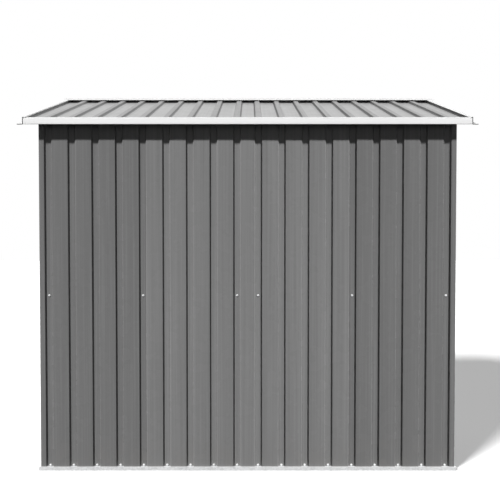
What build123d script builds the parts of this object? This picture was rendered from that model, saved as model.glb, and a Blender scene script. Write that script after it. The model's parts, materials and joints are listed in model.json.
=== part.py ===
from build123d import *
from math import atan2, cos, radians, sin, tan
import os

# A small gabled storage shed of ribbed sheet steel on a rail base.
# X runs along the ridge, the plain long wall stands at -Y, the doors at +Y.

# Ribbed sheet of walls, gables and doors; the roof's ribs are higher
RIB_PITCH = 106.0
RIB_MOUTH = 35.0
RIB_FLOOR = 24.0
RIB_DEPTH = 8.0
ROOF_RIB_DEPTH = 10.0
SHEET = 0.5
SHEET_LAYERS = 3
LAP_PLAY = 1.0
FLAT_LAP = 40.0

# Walls
LONG_RIBS = 9
LONG_PANEL_RIBS = 5
SHORT_RIBS = 6
CENTRE_PITCH = 95.0
CORNER_FLAT = 41.0
CORNER_RETURN = 26.0
WALL_TOP = 1572.0

# Base, middle and top rails
RAIL = 1.0
BASE_LEDGE = 16.0
BASE_LIP = 7.0
BASE_UPSTAND = 45.0
BASE_FLANGE = 45.0
BASE_INNER_LIP = 12.0
ANCHOR_RADIUS = 4.5
ANCHOR_INSET = 30.0
ANCHOR_FROM_CORNER = 80.0
MID_RAIL_HEIGHT = 792.0
MID_RAIL_FACE = 40.0
MID_RAIL_FLANGE = 20.0
TOP_RAIL_FACE = 45.0
TOP_RAIL_FLANGE = 34.0
GABLE_RAIL_RISE = 22.0

# Roof and trims
ROOF_PITCH = 21.2
ROOF_OVER_WALL = 10.5
EAVE_OVERHANG = 36.5
GABLE_OVERHANG = 56.0
TRIM = 0.8
TRIM_DROP = 14.5
TRIM_HEM = 4.0
TRIM_COVER = 22.0
GABLE_TRIM_FLANGE = 25.0
GABLE_TRIM_COVER = 10.0
GABLE_TRIM_RISE = 5.0
TRIM_REACH = 40.0
ROOF_LIP = 6.0
ROOF_PLAY = 0.6
RIDGE_GAP = 3.0
RIDGE_BEAM_HALF = 42.0
RIDGE_BEAM_LIP = 14.0
CAP_HALF = 76.0
GABLE_PLAY = 1.0

# Doors
JAMB_COVER = 3.0
LINTEL_FACE = 82.0
TRACK_RISE = 2.0
TRACK_FLANGE = 33.0
TRACK_DEPTH = 22.0
TRACK_LIP = 22.0
DOOR_GAP = 1.5
DOOR_OVERLAP = 14.0
DOOR_PLAY = 3.0
DOOR_SLACK = 0.5
DOOR_BORDER = 20.0
DOOR_FOOT = 7.0
DOOR_RIBS = 4
FOOT_LENGTH = 40.0
FOOT_INSET = 60.0
HANDLE_HEIGHT = 860.0
HANDLE_LENGTH = 130.0
HANDLE_WIDTH = 16.0
HANDLE_REACH = 26.0
HANDLE_BAR = 8.0
HANDLE_ROUND = 2.5

# Sizes that follow from those above
half_mouth = RIB_MOUTH / 2
half_floor = RIB_FLOOR / 2
slope = radians(ROOF_PITCH)
long_ribs = [CENTRE_PITCH / 2 + RIB_PITCH * i for i in range(LONG_RIBS)]
short_ribs = [RIB_PITCH / 2 + RIB_PITCH * i for i in range(SHORT_RIBS)]
wall_x = long_ribs[-1] + CORNER_FLAT
wall_y = short_ribs[-1] + CORNER_FLAT
rail_depth = RIB_DEPTH + SHEET_LAYERS * SHEET
lap_rib = long_ribs[LONG_PANEL_RIBS - 1]
eave_y = wall_y + EAVE_OVERHANG
gable_x = wall_x + GABLE_OVERHANG
pan_at_wall = WALL_TOP + ROOF_OVER_WALL
pan_at_eave = pan_at_wall - EAVE_OVERHANG * tan(slope)
pan_at_ridge = pan_at_eave + eave_y * tan(slope)
wall_height = WALL_TOP - BASE_LEDGE

# Each wall's plane: x along the wall to the right seen from outside, y inwards
back_wall = Plane(origin=(0, -wall_y, 0), x_dir=(1, 0, 0), z_dir=(0, 0, 1))
front_wall = Plane(origin=(0, wall_y, 0), x_dir=(-1, 0, 0), z_dir=(0, 0, 1))
left_wall = Plane(origin=(-wall_x, 0, 0), x_dir=(0, -1, 0), z_dir=(0, 0, 1))
right_wall = Plane(origin=(wall_x, 0, 0), x_dir=(0, 1, 0), z_dir=(0, 0, 1))
back_roof = Plane(origin=(0, -eave_y, pan_at_eave), x_dir=(1, 0, 0), z_dir=(0, cos(slope), sin(slope)))
front_roof = Plane(origin=(0, eave_y, pan_at_eave), x_dir=(-1, 0, 0), z_dir=(0, -cos(slope), sin(slope)))

os.makedirs("parts", exist_ok=True)


def save(solid, name):
    """Label one sub-part and write it to its own file."""
    solid.label = name
    export_step(solid, f"parts/{name}.step")


def mirrored(ribs):
    """Rib places on both sides of a wall's middle."""
    return [-rib for rib in reversed(ribs)] + ribs


def section(wall):
    """The cross-section plane of a wall: x inwards, y up, running along the wall."""
    return Plane(origin=wall.origin, x_dir=wall.y_dir, z_dir=wall.x_dir)


def ribbed_face(ribs, start, end, depth, inset, level):
    """Points along one face of a ribbed sheet; an end inside a rib lies on its floor."""
    def level_at(place):
        inside = any(abs(place - rib) < half_floor for rib in ribs)
        return level + depth if inside else level

    points = [(start, level_at(start))]
    for rib in ribs:
        corners = [
            (rib - half_mouth - inset, level),
            (rib - half_floor - inset, level + depth),
            (rib + half_floor + inset, level + depth),
            (rib + half_mouth + inset, level),
        ]
        points += [corner for corner in corners if start < corner[0] < end]
    return points + [(end, level_at(end))]


def ribbed_outline(ribs, start, end, depth, layer):
    """Closed outline of a ribbed sheet, its thickness inwards."""
    inset = SHEET * tan(atan2(depth, half_mouth - half_floor) / 2)
    outer = ribbed_face(ribs, start, end, depth, 0, layer * SHEET)
    inner = ribbed_face(ribs, start, end, depth, inset, (layer + 1) * SHEET)
    return outer + inner[::-1]


def wall_sheet(plane, ribs, start, end, layer, bottom, height):
    """A ribbed sheet standing in a wall."""
    with BuildPart() as sheet:
        with BuildSketch(plane.offset(bottom)):
            with BuildLine():
                Polyline(*ribbed_outline(ribs, start, end, RIB_DEPTH, layer), close=True)
            make_face()
        extrude(amount=height)
    return sheet.part


def corner_sheet(plane, side):
    """A long wall's end panel with its return round the corner."""
    inner_end = lap_rib - half_floor + LAP_PLAY
    start, end = sorted((side * wall_x, side * inner_end))
    with BuildPart() as sheet:
        with BuildSketch(plane.offset(BASE_LEDGE)):
            with BuildLine():
                Polyline(*ribbed_outline(mirrored(long_ribs), start, end, RIB_DEPTH, 0), close=True)
            make_face()
            with Locations((side * (wall_x - SHEET / 2), 0)):
                Rectangle(SHEET, CORNER_RETURN, align=(Align.CENTER, Align.MIN))
        extrude(amount=wall_height)
    return sheet.part


def folded_bar(plane, path, thickness, half_length):
    """A bar of folded strip: a path, thickened to its right, run along the wall."""
    with BuildPart() as bar:
        with BuildSketch(plane):
            with BuildLine():
                Polyline(*path)
                offset(amount=thickness, side=Side.RIGHT, kind=Kind.INTERSECTION)
            make_face()
        extrude(amount=half_length, both=True)
    return bar.part


def roof_under(depth_from_wall):
    """Height of the roof's underside at a place behind the long wall's face."""
    return pan_at_wall + depth_from_wall * tan(slope) - (SHEET_LAYERS - 1) * SHEET / cos(slope)


# Base rails: ground flange, ledge under the sheets, upstand behind them
base_path = [
    (BASE_FLANGE, BASE_INNER_LIP),
    (BASE_FLANGE, 0),
    (-BASE_LIP, 0),
    (-BASE_LIP, BASE_LEDGE),
    (rail_depth, BASE_LEDGE),
    (rail_depth, BASE_UPSTAND),
]
for name, wall in (("base_rail_back", back_wall), ("base_rail_front", front_wall)):
    with BuildPart() as base_rail:
        add(folded_bar(section(wall), base_path, RAIL, wall_x + BASE_LIP))
        for side in (-1, 1):
            with Locations(wall):
                with Locations((side * (wall_x - ANCHOR_FROM_CORNER), ANCHOR_INSET, RAIL)):
                    Hole(radius=ANCHOR_RADIUS, depth=RAIL)
                with Locations((side * wall_x, rail_depth, BASE_LEDGE)):
                    Box(
                        2 * rail_depth,
                        2 * RAIL,
                        BASE_UPSTAND,
                        align=(Align.CENTER, Align.MIN, Align.MIN),
                        mode=Mode.SUBTRACT,
                    )
    save(base_rail.part, name)
for name, wall in (("base_rail_left", left_wall), ("base_rail_right", right_wall)):
    save(folded_bar(section(wall), base_path, RAIL, wall_y - BASE_FLANGE), name)

# Long back wall: two corner panels and two middle panels lapped in the ribs
both_long = mirrored(long_ribs)
lap_start = lap_rib + half_floor - LAP_PLAY
save(corner_sheet(back_wall, -1), "back_wall_corner_left")
save(corner_sheet(back_wall, 1), "back_wall_corner_right")
save(
    wall_sheet(back_wall, both_long, -lap_start, FLAT_LAP / 2, 1, BASE_LEDGE, wall_height),
    "back_wall_middle_left",
)
save(
    wall_sheet(back_wall, both_long, -FLAT_LAP / 2, lap_start, 2, BASE_LEDGE, wall_height),
    "back_wall_middle_right",
)

# Front wall: a corner panel on either side of the doorway
save(corner_sheet(front_wall, 1), "front_wall_left")
save(corner_sheet(front_wall, -1), "front_wall_right")

# Short walls: two panels each, lapped on the middle flat, inside the corner returns
both_short = mirrored(short_ribs)
side_end = wall_y - SHEET
for side, wall, first, second in (
    ("left", left_wall, "front", "back"),
    ("right", right_wall, "back", "front"),
):
    save(
        wall_sheet(wall, both_short, -side_end, FLAT_LAP / 2, 1, BASE_LEDGE, wall_height),
        f"{side}_wall_{first}",
    )
    save(
        wall_sheet(wall, both_short, -FLAT_LAP / 2, side_end, 2, BASE_LEDGE, wall_height),
        f"{side}_wall_{second}",
    )

# Gables: one sheet each, standing on the short wall and cut under the roof
gable_rise = pan_at_ridge - WALL_TOP
gable_peak = roof_under(wall_y) - GABLE_PLAY
for side, wall in (("left", left_wall), ("right", right_wall)):
    with BuildPart() as gable:
        add(wall_sheet(wall, both_short, -side_end, side_end, 1, WALL_TOP, gable_rise))
        for outward in (-1, 1):
            cut = Plane(origin=(0, 0, gable_peak), z_dir=(0, outward * sin(slope), cos(slope)))
            split(bisect_by=cut, keep=Keep.BOTTOM)
    save(gable.part, f"{side}_gable")

# Middle rails behind the back and short walls
mid_low = MID_RAIL_HEIGHT - MID_RAIL_FACE / 2
mid_high = MID_RAIL_HEIGHT + MID_RAIL_FACE / 2
mid_path = [
    (rail_depth + MID_RAIL_FLANGE, mid_low),
    (rail_depth, mid_low),
    (rail_depth, mid_high),
    (rail_depth + MID_RAIL_FLANGE, mid_high),
]
side_rail_half = wall_y - rail_depth - TOP_RAIL_FLANGE
save(folded_bar(section(back_wall), mid_path, RAIL, wall_x - rail_depth), "mid_rail_back")
save(folded_bar(section(left_wall), mid_path, RAIL, side_rail_half), "mid_rail_left")
save(folded_bar(section(right_wall), mid_path, RAIL, side_rail_half), "mid_rail_right")

# Top rails: the long ones carry the roof, the short ones join wall and gable
top_low = WALL_TOP - TOP_RAIL_FACE
top_inner = rail_depth + TOP_RAIL_FLANGE
long_top_path = [
    (rail_depth, top_low),
    (rail_depth, roof_under(rail_depth)),
    (top_inner, roof_under(top_inner)),
]
short_top_path = [
    (top_inner, top_low),
    (rail_depth, top_low),
    (rail_depth, WALL_TOP + GABLE_RAIL_RISE),
]
save(folded_bar(section(back_wall), long_top_path, RAIL, wall_x - rail_depth), "top_rail_back")
save(folded_bar(section(front_wall), long_top_path, RAIL, wall_x - rail_depth), "top_rail_front")
save(folded_bar(section(left_wall), short_top_path, RAIL, side_rail_half), "top_rail_left")
save(folded_bar(section(right_wall), short_top_path, RAIL, side_rail_half), "top_rail_right")

# Roof: two sheets on each slope with the ribs upwards, lapped on the middle pan
roof_end = gable_x - TRIM - ROOF_PLAY
both_roof = mirrored(long_ribs + [roof_end - ROOF_LIP + half_floor])
roof_setback = (TRIM + ROOF_PLAY + ROOF_RIB_DEPTH * sin(slope)) / cos(slope)
slope_length = eave_y / cos(slope)
roof_length = slope_length - roof_setback - RIDGE_GAP
for name, roof, start, end, layer in (
    ("roof_back_left", back_roof, -roof_end, FLAT_LAP / 2, 0),
    ("roof_back_right", back_roof, -FLAT_LAP / 2, roof_end, 1),
    ("roof_front_right", front_roof, -roof_end, FLAT_LAP / 2, 0),
    ("roof_front_left", front_roof, -FLAT_LAP / 2, roof_end, 1),
):
    with BuildPart() as roof_sheet:
        with BuildSketch(roof.offset(roof_setback)):
            with BuildLine():
                Polyline(*ribbed_outline(both_roof, start, end, -ROOF_RIB_DEPTH, layer), close=True)
            make_face()
        extrude(amount=roof_length)
    save(roof_sheet.part, name)

# Ridge beam under the roof and ridge cap on the gable trims
beam_edge = roof_under(wall_y - RIDGE_BEAM_HALF)
beam_path = [
    (-RIDGE_BEAM_HALF, beam_edge - RIDGE_BEAM_LIP),
    (-RIDGE_BEAM_HALF, beam_edge),
    (0, roof_under(wall_y)),
    (RIDGE_BEAM_HALF, beam_edge),
    (RIDGE_BEAM_HALF, beam_edge - RIDGE_BEAM_LIP),
]
save(folded_bar(Plane.YZ, beam_path, RAIL, wall_x - rail_depth), "ridge_beam")
cap_top = pan_at_ridge + (ROOF_RIB_DEPTH + GABLE_TRIM_RISE + TRIM) / cos(slope)
cap_edge = cap_top - CAP_HALF * tan(slope)
cap_path = [(-CAP_HALF, cap_edge), (0, cap_top), (CAP_HALF, cap_edge)]
save(folded_bar(Plane.YZ, cap_path, TRIM, gable_x + GABLE_TRIM_FLANGE), "ridge_cap")

# Eave trims: a flange over the rib ends and a face with a hem turned inwards
trim_top = pan_at_eave + (ROOF_RIB_DEPTH + TRIM) / cos(slope)
trim_low = pan_at_eave - TRIM_DROP / cos(slope)
eave_path = [
    (TRIM_HEM - EAVE_OVERHANG, trim_low),
    (-EAVE_OVERHANG, trim_low),
    (-EAVE_OVERHANG, trim_top),
    (TRIM_COVER * cos(slope) - EAVE_OVERHANG, trim_top + TRIM_COVER * sin(slope)),
]
save(folded_bar(section(back_wall), eave_path, TRIM, gable_x - TRIM), "eave_trim_back")
save(folded_bar(section(front_wall), eave_path, TRIM, gable_x - TRIM), "eave_trim_front")

# Gable trims: a face with an outward flange up the slope, cut upright at eave and ridge
gable_trim_top = -ROOF_RIB_DEPTH - GABLE_TRIM_RISE
gable_trim_half = slope_length / 2 + TRIM_REACH
for name, roof, side in (
    ("gable_trim_back_left", back_roof, -1),
    ("gable_trim_back_right", back_roof, 1),
    ("gable_trim_front_left", front_roof, 1),
    ("gable_trim_front_right", front_roof, -1),
):
    gable_path = [
        (side * (gable_x + GABLE_TRIM_FLANGE), TRIM_DROP),
        (side * gable_x, TRIM_DROP),
        (side * gable_x, gable_trim_top),
        (side * (gable_x - GABLE_TRIM_COVER), gable_trim_top),
    ]
    uphill = Vector(0, -roof.origin.Y, 0)
    with BuildPart() as gable_trim:
        add(folded_bar(roof.offset(slope_length / 2), gable_path[::side], TRIM, gable_trim_half))
        split(bisect_by=Plane(origin=(0, roof.origin.Y, 0), z_dir=uphill), keep=Keep.TOP)
        split(bisect_by=Plane(origin=(0, 0, 0), z_dir=uphill), keep=Keep.BOTTOM)
    save(gable_trim.part, name)

# Doorway: a jamb in the last rib on each side, a lintel between them, a track behind
jamb_outer = lap_rib + half_floor - LAP_PLAY
jamb_inner = lap_rib - half_floor - JAMB_COVER
for name, side in (("door_jamb_left", 1), ("door_jamb_right", -1)):
    jamb_path = [
        (side * jamb_outer, RIB_DEPTH),
        (side * jamb_outer, 0),
        (side * jamb_inner, 0),
        (side * jamb_inner, rail_depth),
    ]
    with BuildPart() as jamb:
        with BuildSketch(front_wall.offset(BASE_LEDGE)):
            with BuildLine():
                Polyline(*jamb_path[::side])
                offset(amount=TRIM, side=Side.RIGHT, kind=Kind.INTERSECTION)
            make_face()
        extrude(amount=wall_height)
    save(jamb.part, name)
lintel_path = [
    (rail_depth, WALL_TOP - LINTEL_FACE),
    (0, WALL_TOP - LINTEL_FACE),
    (0, WALL_TOP),
    (rail_depth, WALL_TOP),
]
save(folded_bar(section(front_wall), lintel_path, TRIM, jamb_inner), "door_lintel")
track_face = rail_depth + 2 * RAIL
track_top = top_low + TRACK_RISE
track_path = [
    (track_face, track_top + TRACK_FLANGE),
    (track_face, track_top),
    (track_face + TRACK_DEPTH, track_top),
    (track_face + TRACK_DEPTH, track_top - TRACK_LIP),
]
save(folded_bar(section(front_wall), track_path, RAIL, wall_x - rail_depth), "door_track")

# Doors: a ribbed sheet in a channel frame, hung behind the wall and run on feet
door_face = rail_depth + RAIL + DOOR_PLAY
door_thickness = RIB_DEPTH + SHEET + 2 * RAIL + DOOR_SLACK
door_low = RAIL + DOOR_FOOT
door_height = track_top - RAIL - DOOR_PLAY - door_low
door_width = jamb_inner + DOOR_OVERLAP - DOOR_GAP
door_middle = DOOR_GAP + door_width / 2
door_depth = door_face + door_thickness / 2
door_plane = Plane(
    origin=(0, wall_y - door_face - RAIL, 0),
    x_dir=front_wall.x_dir,
    z_dir=front_wall.z_dir,
)
for name, side in (("door_left", 1), ("door_right", -1)):
    with BuildPart(front_wall) as door_frame:
        with Locations((side * door_middle, door_depth, door_low + door_height / 2)):
            Box(door_width, door_thickness, door_height)
            Box(
                door_width - 2 * DOOR_BORDER,
                door_thickness,
                door_height - 2 * DOOR_BORDER,
                mode=Mode.SUBTRACT,
            )
            Box(
                door_width - 2 * RAIL,
                door_thickness - 2 * RAIL,
                door_height - 2 * RAIL,
                mode=Mode.SUBTRACT,
            )
    save(door_frame.part, f"{name}_frame")
    door_ends = sorted((side * (DOOR_GAP + RAIL), side * (DOOR_GAP + door_width - RAIL)))
    door_ribs = [side * rib for rib in long_ribs[:DOOR_RIBS]]
    save(
        wall_sheet(
            door_plane, door_ribs[::side], *door_ends, 0, door_low + RAIL, door_height - 2 * RAIL
        ),
        f"{name}_sheet",
    )

# Door feet on the front base rail and pull handles beside the meeting edges
with BuildPart(front_wall) as door_feet:
    for side in (-1, 1):
        for place in (DOOR_GAP + FOOT_INSET, DOOR_GAP + door_width - FOOT_INSET):
            with Locations((side * place, door_depth, RAIL)):
                Box(
                    FOOT_LENGTH,
                    door_thickness,
                    DOOR_FOOT,
                    align=(Align.CENTER, Align.CENTER, Align.MIN),
                )
save(door_feet.part, "door_feet")
handle_low = HANDLE_HEIGHT - HANDLE_LENGTH / 2
handle_high = HANDLE_HEIGHT + HANDLE_LENGTH / 2
handle_path = [
    (door_face, handle_low),
    (door_face - HANDLE_REACH, handle_low),
    (door_face - HANDLE_REACH, handle_high),
    (door_face, handle_high),
]
handle_place = DOOR_GAP + DOOR_BORDER / 2
with BuildPart() as door_handles:
    for side in (-1, 1):
        bar_plane = section(front_wall).offset(side * handle_place)
        add(folded_bar(bar_plane, handle_path, HANDLE_BAR, HANDLE_WIDTH / 2))
    grip = door_handles.edges().filter_by(Axis.Z).group_by(Axis.Y)[-1]
    fillet(grip, radius=HANDLE_ROUND)
save(door_handles.part, "door_handles")
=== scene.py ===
"""Looks of a small ribbed steel storage shed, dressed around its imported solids."""

import json
import logging
import math
from dataclasses import dataclass, field, replace
from enum import Enum, IntEnum

import bpy
import numpy as np
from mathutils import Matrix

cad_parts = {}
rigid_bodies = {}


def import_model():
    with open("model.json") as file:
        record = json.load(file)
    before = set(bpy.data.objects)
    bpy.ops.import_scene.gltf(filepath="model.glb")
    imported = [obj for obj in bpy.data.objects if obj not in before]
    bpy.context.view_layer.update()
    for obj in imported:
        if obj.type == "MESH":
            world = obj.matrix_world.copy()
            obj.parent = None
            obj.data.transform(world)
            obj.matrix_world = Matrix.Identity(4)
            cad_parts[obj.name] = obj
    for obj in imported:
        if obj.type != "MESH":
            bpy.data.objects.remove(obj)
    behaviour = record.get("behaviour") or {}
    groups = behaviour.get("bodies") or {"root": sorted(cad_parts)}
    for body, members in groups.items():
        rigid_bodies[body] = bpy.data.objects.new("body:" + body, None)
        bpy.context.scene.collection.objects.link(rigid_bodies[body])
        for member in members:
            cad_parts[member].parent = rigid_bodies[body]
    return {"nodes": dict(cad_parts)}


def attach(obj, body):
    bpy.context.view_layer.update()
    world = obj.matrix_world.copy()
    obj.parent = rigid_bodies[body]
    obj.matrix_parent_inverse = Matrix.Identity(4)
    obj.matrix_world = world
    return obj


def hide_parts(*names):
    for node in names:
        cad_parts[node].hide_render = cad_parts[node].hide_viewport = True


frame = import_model()

Array = np.ndarray
Piece = bpy.types.Object
Socket = bpy.types.NodeSocket
Span = tuple[float, float]
Triple = tuple[float, float, float]
Colour = tuple[float, float, float, float]

BODY = "root"
SHARP_ANGLE = math.radians(35)
# The most of a side that the arc at one of its ends takes up.
ARC_SHARE = 0.45
# A turn and a length in metres below which a corner or a span counts for nothing.
NO_TURN = 1e-6
NO_LENGTH = 1e-7
EVEN: Triple = (1.0, 1.0, 1.0)
UP: Triple = (0.0, 0.0, 1.0)

log = logging.getLogger("shed")


class Slot(Enum):
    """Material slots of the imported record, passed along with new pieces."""

    GREY = "grey_sheet"
    WHITE = "white_trim"
    STEEL = "galvanised_steel"


class Fold(Enum):
    """Which way the ribs of a sheet are pressed: into the wall or out of the roof."""

    INWARD = 1.0
    OUTWARD = -1.0


class Side(Enum):
    """The walls, by the way that each faces on the plan."""

    BACK = (0, -1)
    FRONT = (0, 1)
    LEFT = (-1, 0)
    RIGHT = (1, 0)


class End(IntEnum):
    """The ends of a wall or a slope, seen from outside, as signs of places along it."""

    LEFT = -1
    RIGHT = 1


class Arithmetic(Enum):
    """What is worked out from two values."""

    PRODUCT = "MULTIPLY"
    LARGER = "MAXIMUM"


class Easing(Enum):
    """How a value runs between the ends of its range."""

    STRAIGHT = "LINEAR"
    SOFT = "SMOOTHSTEP"


class Reach(Enum):
    """Whether a lamp lights only the pieces listed with it, or all but those."""

    ONLY = "INCLUDE"
    ALL_BUT = "EXCLUDE"


def unit(vectors: Array) -> Array:
    """Vectors scaled to length one along the last axis."""
    return vectors / np.linalg.norm(vectors, axis=-1, keepdims=True)


def left_of(directions: Array) -> Array:
    """Plane directions turned a quarter turn to the left: (a, b) becomes (-b, a)."""
    return np.stack([-directions[..., 1], directions[..., 0]], axis=-1)


def shifted_path(points: Array, distance: float) -> Array:
    """A path moved sideways with mitred corners.

    Each corner moves along the mean of its two sides' left normals, by the
    distance over the cosine of half the turn.

    Args:
        points: Corners of the path, n by 2.
        distance: How far to the left the path moves.

    Returns:
        The moved corners, n by 2.
    """
    sides = left_of(unit(np.diff(points, axis=0)))
    before = np.vstack([sides[:1], sides])
    after = np.vstack([sides, sides[-1:]])
    mean = before + after
    return points + distance * 2.0 * mean / np.sum(mean * mean, axis=1, keepdims=True)


def rounded_path(points: Array, radius: float, steps: int) -> tuple[Array, Array, Array]:
    """A path with its corners rounded to arcs.

    At a corner with turn t the arc starts radius * tan(t / 2) before it, and its
    direction swings evenly from the first side's to the second's. A fold's mark
    rises and falls along its arc as half a sine, with the sign of the turn.

    Args:
        points: Corners of the path, n by 2.
        radius: Radius of the arcs.
        steps: Number of spans in an arc.

    Returns:
        Points along the rounded path, the unit directions there and the fold marks.
    """
    sides = unit(np.diff(points, axis=0))
    lengths = np.linalg.norm(np.diff(points, axis=0), axis=1)
    first, second = sides[:-1], sides[1:]
    cross = first[:, 0] * second[:, 1] - first[:, 1] * second[:, 0]
    turn = np.arctan2(cross, np.sum(first * second, axis=1))
    sign = np.sign(turn)[:, None]
    share = np.linspace(0, 1, steps + 1)
    half = np.maximum(np.abs(np.tan(turn / 2)), NO_TURN)
    bend = np.minimum(radius, ARC_SHARE * np.minimum(lengths[:-1], lengths[1:]) / half)
    start = points[1:-1] - first * (bend * half)[:, None]
    centre = start + sign * bend[:, None] * left_of(first)
    swing = np.arctan2(first[:, 1], first[:, 0])[:, None] + turn[:, None] * share
    heading = np.stack([np.cos(swing), np.sin(swing)], axis=-1)
    arcs = centre[:, None, :] - bend[:, None, None] * sign[:, None] * left_of(heading)
    arcs = np.where(np.abs(turn)[:, None, None] < NO_TURN, points[1:-1][:, None, :], arcs)
    path = np.vstack([points[:1], arcs.reshape(-1, 2), points[-1:]])
    headings = np.vstack([sides[:1], heading.reshape(-1, 2), sides[-1:]])
    marks = np.r_[0.0, (sign * np.sin(np.pi * share)).ravel(), 0.0]
    keep = np.r_[True, np.linalg.norm(np.diff(path, axis=0), axis=1) > NO_LENGTH]
    return path[keep], headings[keep], marks[keep]


@dataclass(frozen=True)
class Place:
    """A local frame: a, b and c run along three world directions from an origin."""

    origin: Triple
    a: Triple
    b: Triple
    c: Triple

    def world(self, a: Array, b: Array, c: Array) -> Array:
        """World points of local coordinates, on one more axis of length three."""
        local = np.stack(np.broadcast_arrays(a, b, c), axis=-1)
        return np.array(self.origin, float) + local @ np.array([self.a, self.b, self.c], float)

    def section(self) -> "Place":
        """A wall's frame as a cross-section: inwards, up, along."""
        return Place(self.origin, self.b, self.c, self.a)


@dataclass
class Marks:
    """What a surface carries for its finish, one value or pair per vertex."""

    fold: Array
    rib: Array
    lay: Array
    batch: float = 0.0

    @classmethod
    def plain(cls, count: int) -> "Marks":
        """Marks of a surface without folds."""
        return cls(np.zeros(count), np.zeros(count), np.zeros((count, 2)))

    def write(self, mesh: bpy.types.Mesh, corners: Array) -> None:
        """Writes the marks into a mesh.

        Args:
            mesh: The mesh.
            corners: Vertex index of each face corner.
        """
        batch = np.full(len(self.fold), self.batch)
        for name, values in (("fold", self.fold), ("rib", self.rib), ("batch", batch)):
            attribute = mesh.attributes.new(name, "FLOAT", "POINT")
            attribute.data.foreach_set("value", values.astype(np.float32))
        layer = mesh.uv_layers.new(name="lay")
        layer.data.foreach_set("uv", self.lay[corners].astype(np.float32).ravel())


def put_mesh(name: str, points: Array, faces: list[Array], marks: Marks) -> Piece:
    """A mesh object from whole arrays, turned outwards.

    The sign of the enclosed volume, summed over the faces' fans, tells whether
    the faces have to be turned round.

    Args:
        name: Name of the new piece.
        points: Vertices, n by 3.
        faces: Arrays of faces, each m by the number of corners.
        marks: What the surface carries for its finish.

    Returns:
        The new object, at the origin.
    """
    volume = sum(
        float(np.einsum("ij,ij->", points[f[:, 0]], np.cross(points[f[:, i]], points[f[:, i + 1]])))
        for f in faces
        for i in range(1, f.shape[1] - 1)
    )
    faces = [f[:, ::-1] for f in faces] if volume < 0 else faces
    sizes = np.concatenate([np.full(len(f), f.shape[1]) for f in faces])
    corners = np.concatenate([f.ravel() for f in faces])
    mesh = bpy.data.meshes.new(name)
    mesh.vertices.add(len(points))
    mesh.vertices.foreach_set("co", points.astype(np.float32).ravel())
    mesh.loops.add(len(corners))
    mesh.loops.foreach_set("vertex_index", corners.astype(np.int32))
    mesh.polygons.add(len(sizes))
    mesh.polygons.foreach_set("loop_start", (np.cumsum(sizes) - sizes).astype(np.int32))
    mesh.update(calc_edges=True)
    marks.write(mesh, corners)
    mesh.shade_smooth()
    mesh.set_sharp_from_angle(angle=SHARP_ANGLE)
    piece = bpy.data.objects.new(name, mesh)
    bpy.context.scene.collection.objects.link(piece)
    return piece


def strip_section(middle: Array, half: float, radius: float, steps: int) -> tuple[Array, Array, Array]:
    """A folded strip's section: the rounded middle line moved half a thickness both ways.

    Args:
        middle: Corners of the middle line, n by 2.
        half: Half the thickness.
        radius: Fold radius of the middle line.
        steps: Spans in a fold.

    Returns:
        Points of the right face then the left face, their fold marks, and their
        distances along the section.
    """
    path, heading, fold = rounded_path(middle, radius, steps)
    normal = left_of(heading)
    along = np.r_[0.0, np.cumsum(np.linalg.norm(np.diff(path, axis=0), axis=1))]
    points = np.vstack([path - half * normal, path + half * normal])
    return points, np.r_[fold, -fold], np.r_[along, along]


def shell_faces(stations: int, across: int) -> list[Array]:
    """Faces of a closed loop of points carried along stations, with strip ends.

    Vertex (s, i) has index s * 2 * across + i; the first half of a loop is the
    outer face and the second half the inner face, both in the path's order.

    Args:
        stations: Number of loops.
        across: Number of points on one face.

    Returns:
        Two arrays of four-cornered faces: the sides and the two ends.
    """
    loop = 2 * across
    ring = np.r_[np.arange(across), np.arange(loop - 1, across - 1, -1)]
    near = (np.arange(stations - 1) * loop)[:, None] + ring
    following = np.roll(near, -1, axis=1)
    sides = np.stack([near, following, following + loop, near + loop], axis=-1).reshape(-1, 4)
    i = np.arange(across - 1)
    low = np.stack([i, i + across, i + across + 1, i + 1], axis=-1)
    high = low[:, ::-1] + (stations - 1) * loop
    return [sides, np.vstack([low, high])]


@dataclass(frozen=True)
class RibbedProfile:
    """The pressed section that walls, gables, doors and roof share."""

    pitch: float = 0.106
    mouth: float = 0.035
    floor: float = 0.024
    depth: float = 0.008
    thickness: float = 0.0005
    bend: float = 0.0018
    bend_steps: int = 4

    def corners(self, ribs: Array, ends: Span, fold: Fold, layer: int) -> Array:
        """Corners of the outer face between two ends.

        A rib at r has corners at r -/+ mouth / 2 on the flat and at r -/+ floor / 2
        at full depth; an end that falls on a rib's floor lies at full depth.

        Args:
            ribs: Rib centres along the sheet.
            ends: Where the sheet begins and ends.
            fold: Whether ribs go inwards or outwards.
            layer: How many sheet thicknesses the sheet lies behind the outer face.

        Returns:
            Corners, n by 2: place along the sheet and depth inwards.
        """
        level = layer * self.thickness
        deep = level + fold.value * self.depth
        reach = np.array([-self.mouth, -self.floor, self.floor, self.mouth]) / 2
        places = (ribs[:, None] + reach).ravel()
        levels = np.tile([level, deep, deep, level], len(ribs))
        inside = (places > ends[0]) & (places < ends[1])
        on_floor = np.any(np.abs(np.array(ends)[:, None] - ribs) < self.floor / 2, axis=1)
        first, last = np.stack([ends, np.where(on_floor, deep, level)], axis=-1)
        return np.vstack([first, np.stack([places[inside], levels[inside]], axis=-1), last])


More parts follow.
